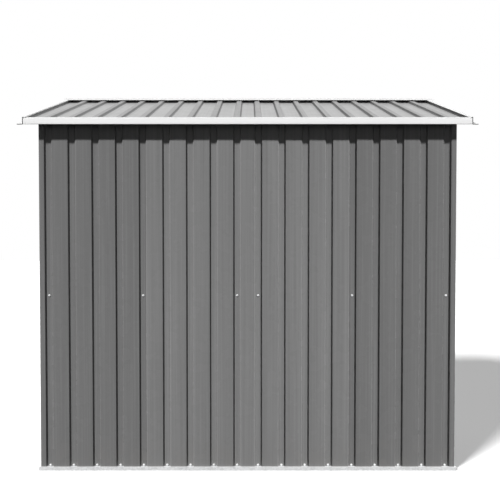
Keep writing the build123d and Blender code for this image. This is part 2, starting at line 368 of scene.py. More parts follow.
@dataclass(frozen=True)
class Wave:
    """Slight unevenness of thin sheet between its fixings: slow waves with a ripple on them.

    The ripple's height and length are shares of the waves' own. A lean is how far
    waves run on, in radians, from a sheet's low end to its high end.
    """

    height: float = 0.00022
    length: float = 0.47
    lean: float = 4.1
    ripple_height: float = 0.6
    ripple_length: float = 0.37
    ripple_lean: float = 9.0
    ripple_shift: float = 2.3
    starts: int = 97
    stations: int = 15

    def depth(self, along: Array, up: Array, phase: float) -> Array:
        """Depth of the waves: two sines across the sheet's two directions, level at its ends.

        Args:
            along: Places along the sheet.
            up: Shares of the sheet's length, 0 to 1.
            phase: Start of the waves, different for each sheet.

        Returns:
            Depths, broadcast over both.
        """
        turns = 2 * np.pi * along / self.length
        slow = np.sin(turns + phase + self.lean * up)
        ripple = np.sin(turns / self.ripple_length - self.ripple_shift * phase + self.ripple_lean * up)
        return self.height * np.sin(np.pi * up) * (slow + self.ripple_height * ripple)


@dataclass
class Sheet:
    """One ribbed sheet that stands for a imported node.

    It runs from start to end along its place and from low to high up it. A return
    leg turns round the building's corner at the end that its sign tells, a peak's
    fall is the slope of a gable's top, and batch is the share of the darker paint.
    """

    node: str
    place: Place
    ribs: Array
    start: float
    end: float
    low: float
    high: float
    layer: int = 0
    fold: Fold = Fold.INWARD
    return_leg: float = 0.0
    peak_fall: float = 0.0
    batch: float = 0.0
    profile: RibbedProfile = RibbedProfile()
    wave: Wave = Wave()

    @property
    def phase(self) -> float:
        """Where this sheet's waves start, worked out from the letters of its node's name."""
        return float(sum(self.node.encode()) % self.wave.starts)

    def outline(self) -> Array:
        """Outer corners, with the leg that turns round a building corner where there is one.

        Returns:
            Corners, n by 2.
        """
        corners = self.profile.corners(self.ribs, (self.start, self.end), self.fold, self.layer)
        leg = abs(self.return_leg)
        if self.return_leg < 0:
            corners = np.vstack([[corners[0, 0], leg], corners])
        if self.return_leg > 0:
            corners = np.vstack([corners, [corners[-1, 0], leg]])
        # A gable's top bends at the middle, so its section has a corner there.
        if self.peak_fall:
            middle = np.searchsorted(corners[:, 0], 0.0)
            corners = np.insert(corners, middle, [0.0, corners[middle, 1]], axis=0)
        return corners

    def build(self) -> Piece:
        """The sheet as a thin closed shell with rounded folds.

        The middle line of the section is rounded, then moved half a thickness
        both ways; the section is carried up the sheet, and under a gable its
        top falls away from the middle with the roof's slope.

        Returns:
            The new piece.
        """
        profile, count = self.profile, self.wave.stations
        half = profile.thickness / 2
        middle = shifted_path(self.outline(), half)
        section, fold, along = strip_section(middle, half, profile.bend, profile.bend_steps)
        share = np.linspace(0.0, 1.0, count)[:, None]
        top = self.high - self.peak_fall * np.abs(section[:, 0])
        run = self.low + share * (top - self.low)
        level = self.layer * profile.thickness
        deep = np.clip((section[:, 1] - level) * self.fold.value / profile.depth, 0.0, 1.0)
        waves = (1.0 - deep) * self.wave.depth(section[:, 0], share, self.phase)
        points = self.place.world(section[:, 0], section[:, 1] + waves, run)
        lay = np.stack([np.broadcast_to(along + self.phase, run.shape), run], axis=-1)
        marks = Marks(np.tile(fold, count), np.tile(deep, count), lay.reshape(-1, 2), self.batch)
        faces = shell_faces(count, len(section) // 2)
        return put_mesh(f"sheet_{self.node}", points.reshape(-1, 3), faces, marks)


@dataclass
class FoldedBar:
    """A strip folded along its length, for a trim, a jamb or a lintel.

    Its path is the face on the strip's left, in the first two directions of its
    place, and start and end lie along the third.
    """

    node: str
    place: Place
    path: list[Span] | Array
    thickness: float
    start: float
    end: float
    bend: float = 0.0016
    bend_steps: int = 4
    cut: float = 0.0

    def build(self) -> Piece:
        """The bar as a closed shell: its path moved half a thickness to the right and thickened.

        With a cut, both ends are sheared so that they stand upright on a slope.

        Returns:
            The new piece.
        """
        half = self.thickness / 2
        middle = shifted_path(np.array(self.path, float), -half)
        section, fold, along = strip_section(middle, half, self.bend, self.bend_steps)
        ends = np.array([self.start, self.end])[:, None] + self.cut * section[:, 1]
        points = self.place.world(section[:, 0], section[:, 1], ends)
        lay = np.stack([np.broadcast_to(along, ends.shape), ends], axis=-1)
        marks = Marks(np.tile(fold, 2), np.zeros(ends.size), lay.reshape(-1, 2))
        faces = shell_faces(2, len(section) // 2)
        return put_mesh(f"bar_{self.node}", points.reshape(-1, 3), faces, marks)


@dataclass(frozen=True)
class Screw:
    """A pan head with a cross recess on a soft washer."""

    foot_radius: float = 0.003528
    head_radius: float = 0.0036
    shoulder_radius: float = 0.002952
    crown_radius: float = 0.001872
    belly_height: float = 0.00084
    shoulder_height: float = 0.00192
    head_height: float = 0.0024
    recess_radius: float = 0.0015
    recess_swing: float = 0.35
    recess_depth: float = 0.0012
    pit_radius: float = 0.00045
    pit_swing: float = 0.2
    arms: int = 4
    seat: float = 0.00096
    washer_radius: float = 0.0052
    washer_top_radius: float = 0.004576
    washer_edge: float = 0.00072
    washer_height: float = 0.0012
    spokes: int = 12

    def lathe(self, rings: Array, spots: Array, outward: Array) -> tuple[Array, list[Array]]:
        """Rings of points turned about each spot's level outward line, closed at either end.

        A ring of radius r at height h gives points r cos(p) * across + r sin(p) * over
        + h * outward; a ring that swings grows and shrinks with cos(arms * p).

        Args:
            rings: Radius, height and swing of each ring, from the first end to the last.
            spots: Places on the sheet, n by 3.
            outward: Outward unit directions, n by 3.

        Returns:
            Points and faces of all the copies.
        """
        across = unit(np.cross(UP, outward))
        over = np.cross(outward, across)
        spin = 2 * np.pi * np.arange(self.spokes) / self.spokes
        circle = np.stack([np.cos(spin), np.sin(spin)], axis=-1) @ np.stack([across, over], axis=1)
        radius = rings[:, :1] * (1 + rings[:, 2:] * np.cos(self.arms * spin))
        rise = rings[:, 1, None, None] * outward[:, None, None, :]
        points = spots[:, None, None, :] + radius[:, :, None] * circle[:, None] + rise
        index = np.arange(points[..., 0].size).reshape(points.shape[:-1])
        near, far = index[:, :-1], index[:, 1:]
        sides = np.stack([near, np.roll(near, -1, 2), np.roll(far, -1, 2), far], axis=-1)
        ends = np.vstack([index[:, 0, ::-1], index[:, -1]])
        return points.reshape(-1, 3), [sides.reshape(-1, 4), ends]

    def heads(self) -> Array:
        """Rings of the head: skirt, crown, the cross recess and its bottom.

        Returns:
            Radius, height and swing of each ring.
        """
        rings = np.array([
            (self.foot_radius, 0.0, 0.0),
            (self.head_radius, self.belly_height, 0.0),
            (self.shoulder_radius, self.shoulder_height, 0.0),
            (self.crown_radius, self.head_height, 0.0),
            (self.recess_radius, self.head_height, self.recess_swing),
            (self.pit_radius, self.head_height - self.recess_depth, self.pit_swing),
        ])
        return rings + (0.0, self.seat, 0.0)

    def washers(self) -> Array:
        """Rings of the washer: its edge and its softly rounded top.

        Returns:
            Radius, height and swing of each ring.
        """
        return np.array([
            (self.washer_radius, 0.0, 0.0),
            (self.washer_radius, self.washer_edge, 0.0),
            (self.washer_top_radius, self.washer_height, 0.0),
        ])


@dataclass(frozen=True)
class Grain:
    """Noise on object coordinates, from where it starts to count to where it gives its most."""

    size: float
    detail: float
    counts: Span = (0.0, 1.0)
    most: float = 1.0
    stretch: Triple = EVEN


def grey(level: float, warmth: float = 0.0) -> Colour:
    """A near-neutral colour: a level, with red raised and blue lowered by a share."""
    return (level * (1 + warmth), level, level * (1 - warmth), 1.0)


class NodeWork:
    """Ways to fill a node tree, for the finishes and the sky."""

    tree: bpy.types.NodeTree

    def add(self, kind: str, *inputs: object, **settings: object) -> bpy.types.Node:
        """A new node with its settings.

        Args:
            kind: Node type.
            *inputs: Values or sources of its first inputs, in order.
            **settings: Properties of the node, or values or sources of inputs by name.

        Returns:
            The node.
        """
        node = self.tree.nodes.new(kind)
        for value, target in zip(inputs, node.inputs):
            self.put(value, target)
        for key, value in settings.items():
            if hasattr(node, key):
                setattr(node, key, value)
            else:
                self.put(value, node.inputs[key.replace("_", " ").title()])
        return node

    def put(self, value: object, target: Socket) -> None:
        """Gives an input a constant, or a link from another node.

        Args:
            value: The constant or the output.
            target: The input.
        """
        if isinstance(value, Socket):
            self.tree.links.new(value, target)
        else:
            target.default_value = value

    def ranged(
        self, source: Socket, old: Span, new: Span = (0.0, 1.0), easing: Easing = Easing.STRAIGHT
    ) -> Socket:
        """A value mapped and clamped from its old range, in either order, to a new one."""
        node = self.add("ShaderNodeMapRange", source, *old, *new, interpolation_type=easing.value)
        return node.outputs[0]

    def worked_out(self, kind: Arithmetic, first: Socket, second: Socket) -> Socket:
        """A value worked out from two others."""
        return self.add("ShaderNodeMath", first, second, operation=kind.value).outputs[0]

    def mixed(self, share: Socket, first: Colour | Socket, second: Colour | Socket) -> Socket:
        """A mix of two colours.

        Args:
            share: How much of the second colour.
            first: A colour or a colour socket.
            second: A colour or a colour socket.

        Returns:
            The mixed colour.
        """
        node = self.add("ShaderNodeMix", data_type="RGBA", Factor=share)
        # A mix node keeps its colour sockets after those for numbers and vectors.
        self.put(first, node.inputs[6])
        self.put(second, node.inputs[7])
        return node.outputs[2]

    def looked_at(self) -> Socket:
        """One for rays from the eye, from gloss and through clear pieces, else nought.

        Returns:
            The value.
        """
        rays = self.add("ShaderNodeLightPath").outputs
        seen = self.worked_out(Arithmetic.LARGER, rays["Is Camera Ray"], rays["Is Glossy Ray"])
        return self.worked_out(Arithmetic.LARGER, seen, rays["Is Transmission Ray"])


@dataclass
class Finish(NodeWork):
    """What every finish shares: a name, and a material with one shader."""

    name: str
    tree: bpy.types.NodeTree = field(init=False)
    shader: bpy.types.Node = field(init=False)
    material: bpy.types.Material = field(init=False)

    def __post_init__(self) -> None:
        """Starts the material with an output and a shader."""
        self.material = bpy.data.materials.new(self.name)
        self.material.use_nodes = True
        self.tree = self.material.node_tree
        self.tree.nodes.clear()
        self.shader = self.add("ShaderNodeBsdfPrincipled")
        self.add("ShaderNodeOutputMaterial", Surface=self.shader.outputs["BSDF"])
        self.dress()

    def dress(self) -> None:
        """Adds the finish's own nodes."""

    def feed(self, socket: str, value: object) -> None:
        """Gives one of the shader's inputs a constant or a link."""
        self.put(value, self.shader.inputs[socket])

    def mark(self, name: str) -> Socket:
        """A value that the surface carries."""
        return self.add("ShaderNodeAttribute", attribute_name=name).outputs["Fac"]

    def place(self, stretch: Triple = EVEN) -> Socket:
        """Object coordinates times a stretch along X, Y and Z."""
        spot = self.add("ShaderNodeTexCoord").outputs["Object"]
        return self.add("ShaderNodeMapping", Vector=spot, Scale=stretch).outputs["Vector"]

    def noise(self, grain: Grain) -> Socket:
        """A grain's noise, 0 to 1."""
        settings = {"Vector": self.place(grain.stretch), "Scale": grain.size, "Detail": grain.detail}
        return self.add("ShaderNodeTexNoise", **settings).outputs[0]

    def grained(self, grain: Grain) -> Socket:
        """A grain's noise where it counts, 0 to its most."""
        return self.ranged(self.noise(grain), grain.counts, (0.0, grain.most))

    def bump(self, height: Socket, strength: float, distance: float) -> None:
        """Gives the shader a bump from a height."""
        node = self.add("ShaderNodeBump", Height=height, Strength=strength, Distance=distance)
        self.feed("Normal", node.outputs["Normal"])


@dataclass
class Paint(Finish):
    """Baked paint on sheet: batches, roller streaks, slow tone changes, dust low down, worn folds, and
    painted shade in inward folds.

    Spans named counts say where a mark of the surface starts to tell and where it tells in full.
    """

    light: float = 0.234
    dark: float = 0.216
    batch: float = 0.187
    worn: float = 0.3
    # Painted shade: the dark colour put into inward folds, and on the roof onto the ribs.
    grime: float = 0.06
    grime_warmth: float = 0.03
    dust: float = 0.21
    dust_warmth: float = 0.04
    dust_height: Span = (0.02, 0.16)
    streak: float = 0.38
    streak_stretch: Triple = (95.0, 0.9, 1.0)
    streak_detail: float = 4.0
    streak_edge: float = 0.6
    pale_streak: float = 1.3
    pale_counts: Span = (0.5, 0.78)
    dark_streak: float = 0.7
    dark_counts: Span = (0.5, 0.22)
    worn_counts: Span = (0.2, 0.9)
    # How far painted shade darkens inward folds, from where a fold starts to tell to where it tells in
    # full.
    seam: float = 0.9
    crease_shade_counts: Span = (-0.1, -1.0)
    roughness: Span = (0.22, 0.34)
    gloss: float = 0.12
    tone: Grain = Grain(2.1, 3.0, (0.3, 0.7), stretch=(1.0, 1.0, 0.45))
    cloud: Grain = Grain(14.0, 5.0, (0.35, 0.75), most=0.5)
    chips: Grain = Grain(60.0, 4.0, (0.55, 0.75), most=0.5, stretch=(1.0, 1.0, 0.3))
    peel: Grain = Grain(420.0, 2.0)
    peel_strength: float = 0.08
    peel_depth: float = 0.0003

    def dress(self) -> None:
        """Colour, roughness, gloss and a fine orange-peel bump."""
        cloud = self.grained(self.cloud)
        body = self.mixed(self.grained(self.tone), grey(self.dark), grey(self.light))
        body = self.mixed(self.mark("batch"), body, grey(self.batch))
        body = self.streaked(self.ribbed(body))
        body = self.folded(self.dusted(body, cloud))
        self.feed("Base Color", body)
        self.feed("Roughness", self.ranged(cloud, (0.0, self.cloud.most), self.roughness))
        self.shine()
        self.bump(self.noise(self.peel), self.peel_strength, self.peel_depth)

    def ribbed(self, body: Socket) -> Socket:
        """The colour on the ribs: no other than elsewhere."""
        return body

    def streaked(self, body: Socket) -> Socket:
        """Thin pale and dark lines along a sheet's length, from noise stretched on its lay.

        Args:
            body: The colour without them.

        Returns:
            The colour with them.
        """
        lay = self.add("ShaderNodeUVMap", uv_map="lay").outputs["UV"]
        lay = self.add("ShaderNodeMapping", Vector=lay, Scale=self.streak_stretch).outputs["Vector"]
        node = self.add("ShaderNodeTexNoise", Vector=lay, Scale=1.0, Detail=self.streak_detail)
        node.inputs["Roughness"].default_value = self.streak_edge
        for counts, level in (
            (self.pale_counts, self.light * self.pale_streak),
            (self.dark_counts, self.dark * self.dark_streak),
        ):
            lines = self.ranged(node.outputs[0], counts, (0.0, self.streak))
            body = self.mixed(lines, body, grey(level))
        return body

    def dusted(self, body: Socket, cloud: Socket) -> Socket:
        """Dust in clouds near the ground.

        Args:
            body: The colour without it.
            cloud: Where the dust lies.

        Returns:
            The colour with it.
        """
        height = self.add("ShaderNodeSeparateXYZ", Vector=self.place()).outputs["Z"]
        low = self.ranged(height, self.dust_height, (1.0, 0.0))
        dusty = self.worked_out(Arithmetic.PRODUCT, low, cloud)
        return self.mixed(dusty, body, grey(self.dust, self.dust_warmth))

    def folded(self, body: Socket) -> Socket:
        """Chips on outward folds, and painted shade in inward ones.

        Args:
            body: The colour without them.

        Returns:
            The colour with them.
        """
        fold = self.mark("fold")
        edge = self.ranged(fold, self.worn_counts)
        chipped = self.worked_out(Arithmetic.PRODUCT, edge, self.grained(self.chips))
        body = self.mixed(chipped, body, grey(self.worn))
        # Painted shade: inward folds are darkened towards the shade colour.
        seam = self.ranged(fold, self.crease_shade_counts, (0.0, self.seam))
        return self.mixed(seam, body, grey(self.grime, self.grime_warmth))

    def shine(self) -> None:
        """One gloss all over."""
        self.feed("Specular IOR Level", self.gloss)


@dataclass
class RoofPaint(Paint):
    """Paint on ribbed roof sheet: painted shade makes ribs darker than pans; ribs are also duller than
    pans, dullest on their sides.
    """

    # Painted shade: how far a rib's top goes towards the shade colour.
    rib_painted_shade: float = 0.24
    side_height: float = 0.5
    side_gloss: float = 0.01
    top_gloss: float = 0.045

    def ribbed(self, body: Socket) -> Socket:
        """The colour on the ribs: painted shade, darker the higher they stand."""
        shade = self.ranged(self.mark("rib"), (0.0, 1.0), (0.0, self.rib_painted_shade))
        return self.mixed(shade, body, grey(self.grime))

    def shine(self) -> None:
        """Gloss that follows a rib's height: pan at nought, side half way, top at one."""
        node = self.add("ShaderNodeValToRGB", Fac=self.mark("rib"))
        side = node.color_ramp.elements.new(self.side_height)
        pan, top = node.color_ramp.elements[0], node.color_ramp.elements[-1]
        for stop, level in ((pan, self.gloss), (side, self.side_gloss), (top, self.top_gloss)):
            stop.color = grey(level)
        self.feed("Specular IOR Level", node.outputs["Color"])


@dataclass
class Zinc(Finish):
    """Hot-dipped zinc: crystal flakes that differ in tone and gloss, under a faint cloudy bloom."""

    light: float = 0.66
    dark: float = 0.5
    warmth: float = -0.01
    flake: float = 130.0
    flake_strength: float = 0.05
    flake_depth: float = 0.0002
    metal: float = 0.8
    roughness: Span = (0.3, 0.48)
    bloom_level: float = 1.09
    bloom: Grain = Grain(18.0, 4.0, (0.4, 0.75), most=0.5)

    def dress(self) -> None:
        """Flakes from cells, whose three random values give tone, roughness and height."""
        cells = self.add("ShaderNodeTexVoronoi", Vector=self.place(), Scale=self.flake)
        parts = self.add("ShaderNodeSeparateColor", Color=cells.outputs["Color"])
        tone, rough, height = parts.outputs
        body = self.mixed(tone, grey(self.dark, self.warmth), grey(self.light, self.warmth))
        body = self.mixed(self.grained(self.bloom), body, grey(self.light * self.bloom_level))
        self.feed("Base Color", body)
        self.feed("Metallic", self.metal)
        self.feed("Roughness", self.ranged(rough, (0.0, 1.0), self.roughness))
        self.bump(height, self.flake_strength, self.flake_depth)


@dataclass
class Plastic(Finish):
    """Moulded plastic with a fine grain and rubbed patches."""

    level: float = 0.03
    rubbed: float = 0.06
    roughness: Span = (0.5, 0.34)
    patch: Grain = Grain(30.0, 3.0, (0.5, 0.8))
    skin: Grain = Grain(900.0, 2.0)
    skin_strength: float = 0.15
    skin_depth: float = 0.0003

    def dress(self) -> None:
        """Grain bump, and a paler and smoother tone where hands rub."""
        patch = self.grained(self.patch)
        self.feed("Base Color", self.mixed(patch, grey(self.level), grey(self.rubbed)))
        self.feed("Roughness", self.ranged(patch, (0.0, 1.0), self.roughness))
        self.bump(self.noise(self.skin), self.skin_strength, self.skin_depth)


@dataclass
class FloorWhite(Finish):
    """A matt floor, pale to the eye and darker as a source of bounced light."""

    seen: float = 0.66
    bounce: float = 0.015
    glow: float = 0.09

    def dress(self) -> None:
        """Tells the rays that see the floor from those that it lights."""
        looked_at = self.looked_at()
        self.feed("Base Color", self.mixed(looked_at, grey(self.bounce), grey(self.seen)))
        self.feed("Emission Color", grey(self.glow))
        self.feed("Emission Strength", looked_at)
        self.feed("Roughness", 1.0)
        self.feed("Specular IOR Level", 0.0)


def made(kind: type[Finish], name: str, **values: object) -> Finish:
    """A dataclass field that holds a new finish of a kind."""
    return field(default_factory=lambda: kind(name, **values))


@dataclass
class Finishes:
    """The shed's finishes, one for each kind of piece."""

    sheet: Finish = made(Paint, "grey_sheet_paint")
    roof: Finish = made(
        RoofPaint,
        "grey_roof_paint",
        light=0.245,
        dark=0.228,
        batch=0.205,
        # Painted shade on the ribs and in the inward folds.
        grime=0.05,
        seam=0.95,
        roughness=(0.34, 0.42),
        gloss=0.14,
    )
    trim: Finish = made(
        Paint,
        "white_trim_paint",
        light=0.84,
        dark=0.81,
        batch=0.8,
        worn=0.74,
        # Painted shade in the trim's inward folds.
        grime=0.66,
        dust=0.72,
        streak=0.12,
        roughness=(0.3, 0.42),
    )
    rail: Finish = made(Zinc, "galvanised_rail", light=0.74, dark=0.6, metal=0.35)
    # The cut ends are bare edges whose near-black colour is painted shade for the trim's shaded outline.
    cut: Finish = made(Zinc, "bare_cut_edge", light=0.13, dark=0.09, metal=0.2)
    screw: Finish = made(Zinc, "plated_screw", light=0.9, dark=0.84, flake=900.0, metal=0.3)
    washer: Finish = made(Plastic, "soft_washer", level=0.85, rubbed=0.88)
    moulding: Finish = made(Plastic, "black_moulding")


@dataclass
class Shed:
    """Sizes that the sub-assemblies share, in metres."""

    wall_x: float = 0.9365
    wall_y: float = 0.624
    wall_top: float = 1.572
    ledge: float = 0.016
    rail_depth: float = 0.0095
    trim: float = 0.0008
    profile: RibbedProfile = RibbedProfile()
    first_rib: float = 0.0475
    long_count: int = 9
    short_count: int = 6
    lap_rib: int = 4
    roof_rib: float = 0.01
    roof_layers: int = 2
    lap_play: float = 0.001
    flat_lap: float = 0.04
    slope: float = math.radians(21.2)
    eave_overhang: float = 0.0365
    gable_overhang: float = 0.056
    roof_over_wall: float = 0.0105

    @property
    def long_ribs(self) -> Array:
        """Rib places on the right half of a long wall."""
        return self.first_rib + self.profile.pitch * np.arange(self.long_count)

    @property
    def short_ribs(self) -> Array:
        """Rib places on the right half of a short wall."""
        return self.profile.pitch / 2 + self.profile.pitch * np.arange(self.short_count)

    @property
    def lap_at(self) -> float:
        """Place of the rib where a long wall's panels lap."""
        return self.long_ribs[self.lap_rib]

    @property
    def lap_reach(self) -> float:
        """How far a lapped edge reaches past the middle of its rib's floor."""
        return self.profile.floor / 2 - self.lap_play

    @property
    def eave_y(self) -> float:
        """Half depth over the eave trims' faces."""
        return self.wall_y + self.eave_overhang

    @property
    def gable_x(self) -> float:
        """Half length over the gable trims' faces."""
        return self.wall_x + self.gable_overhang

    @property
    def pan_at_wall(self) -> float:
        """Height of the roof pans over the long walls' faces."""
        return self.wall_top + self.roof_over_wall

    @property
    def pan_at_eave(self) -> float:
        """Height of the roof pans at the eave trims' faces."""
        return self.pan_at_wall - self.eave_overhang * math.tan(self.slope)

    @property
    def pan_at_ridge(self) -> float:
        """Height of the roof pans where the slopes meet."""
        return self.pan_at_eave + self.eave_y * math.tan(self.slope)

    @property
    def slope_length(self) -> float:
        """Length of a slope from eave face to ridge."""
        return self.eave_y / math.cos(self.slope)

    def wall(self, side: Side) -> Place:
        """A wall's frame, seen from outside: along, inwards, up."""
        x, y = side.value
        return Place((x * self.wall_x, y * self.wall_y, 0.0), (-y, x, 0), (-x, -y, 0), UP)

    def roof(self, side: Side) -> Place:
        """A roof slope's frame: along, into the roof, up the slope.

        Args:
            side: The long wall that the slope falls to.

        Returns:
            The frame.
        """
        rise, run = math.sin(self.slope), math.cos(self.slope)
        y = side.value[1]
        eave = (0.0, y * self.eave_y, self.pan_at_eave)
        return Place(eave, (-y, 0, 0), (0, -y * rise, -run), (0, -y * run, rise))

    def roof_under(self, depth: float) -> float:
        """Height of the roof's underside at a depth behind a long wall's face."""
        sheets = self.roof_layers * self.profile.thickness
        return self.pan_at_wall + depth * math.tan(self.slope) - sheets / math.cos(self.slope)


def both(ribs: Array) -> Array:
    """Rib places on both sides of a middle."""
    return np.concatenate([-ribs[::-1], ribs])


@dataclass
class SubAssembly:
    """What each sub-assembly has to hand: the shed's sizes and its finishes."""

    shed: Shed
    finishes: Finishes

    def hand_over(self, piece: Piece, finish: Finish, slot: Slot, *nodes: str) -> None:
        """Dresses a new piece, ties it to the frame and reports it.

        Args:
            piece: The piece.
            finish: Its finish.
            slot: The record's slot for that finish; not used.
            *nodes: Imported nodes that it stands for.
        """
        piece.data.materials.append(finish.material)
        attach(piece, BODY)
        if nodes:
            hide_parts(*nodes)
        log.info("%s: %d faces", piece.name, len(piece.data.polygons))


@dataclass
class Walls(SubAssembly):
    """Ribbed wall sheets, gables and doors."""

    return_leg: float = 0.026
    gable_play: float = 0.001
    door_low: float = 0.009
    door_high: float = 1.524
    door_inner: float = 0.0025
    door_outer: float = 0.4695
    door_depth: float = 0.0145
    door_ribs: int = 4

    def corner_panel(self, node: str, side: Side, at: End) -> Sheet:
        """A long wall's end panel, turned round the corner.

        Args:
            node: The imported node.
            side: Which wall.
            at: The end of the wall.

        Returns:
            The sheet.
        """
        s = self.shed
        wall, ribs, leg = s.wall(side), both(s.long_ribs), at * self.return_leg
        start, end = sorted((at * s.wall_x, at * (s.lap_at - s.lap_reach)))
        return Sheet(node, wall, ribs, start, end, s.ledge, s.wall_top, return_leg=leg, batch=1.0)

    def long_walls(self) -> list[Sheet]:
        """The back wall's four sheets, and the front wall's two beside the doorway.

        Returns:
            The sheets.
        """
        s = self.shed
        back, ribs, low, high = s.wall(Side.BACK), both(s.long_ribs), s.ledge, s.wall_top
        lap, flat = s.lap_at + s.lap_reach, s.flat_lap / 2
        return [
            self.corner_panel("back_wall_corner_left", Side.BACK, End.LEFT),
            self.corner_panel("back_wall_corner_right", Side.BACK, End.RIGHT),
            Sheet("back_wall_middle_left", back, ribs, -lap, flat, low, high, layer=1),
            Sheet("back_wall_middle_right", back, ribs, -flat, lap, low, high, layer=2),
            self.corner_panel("front_wall_left", Side.FRONT, End.RIGHT),
            self.corner_panel("front_wall_right", Side.FRONT, End.LEFT),
        ]

    def short_wall(self, side: Side, first: str, second: str) -> list[Sheet]:
        """A short wall's two sheets, and the gable over them.

        Args:
            side: Which wall.
            first: The sheet at its left end, by the long wall that it meets.
            second: The sheet at its right end.

        Returns:
            The sheets.
        """
        s = self.shed
        name, wall, ribs = side.name.lower(), s.wall(side), both(s.short_ribs)
        end, flat = s.wall_y - s.profile.thickness, s.flat_lap / 2
        low, high = s.ledge, s.wall_top
        peak, fall = s.roof_under(s.wall_y) - self.gable_play, math.tan(s.slope)
        return [
            Sheet(f"{name}_wall_{first}", wall, ribs, -end, flat, low, high, layer=1),
            Sheet(f"{name}_wall_{second}", wall, ribs, -flat, end, low, high, layer=2),
            Sheet(f"{name}_gable", wall, ribs, -end, end, high, peak, layer=1, peak_fall=fall),
        ]

    def door(self, node: str, at: End) -> Sheet:
        """A door leaf's sheet, set back behind the front wall.

        Args:
            node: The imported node.
            at: The half of the doorway that it closes.

        Returns:
            The sheet.
        """
        s = self.shed
        set_back = replace(s.wall(Side.FRONT), origin=(0.0, s.wall_y - self.door_depth, 0.0))
        ribs = np.sort(at * s.long_ribs[: self.door_ribs])
        start, end = sorted((at * self.door_inner, at * self.door_outer))
        return Sheet(node, set_back, ribs, start, end, self.door_low, self.door_high)

    def build(self) -> None:
        """Builds and dresses the sheets."""
        left = self.short_wall(Side.LEFT, "front", "back")
        right = self.short_wall(Side.RIGHT, "back", "front")
        doors = self.door("door_left_sheet", End.RIGHT), self.door("door_right_sheet", End.LEFT)
        for sheet in (*self.long_walls(), *left, *right, *doors):
            self.hand_over(sheet.build(), self.finishes.sheet, Slot.GREY, sheet.node)


@dataclass(frozen=True)
class Verge:
    """A sloping edge of the roof: its name, the slope, and the slope's end."""

    name: str
    slope: Side
    end: End


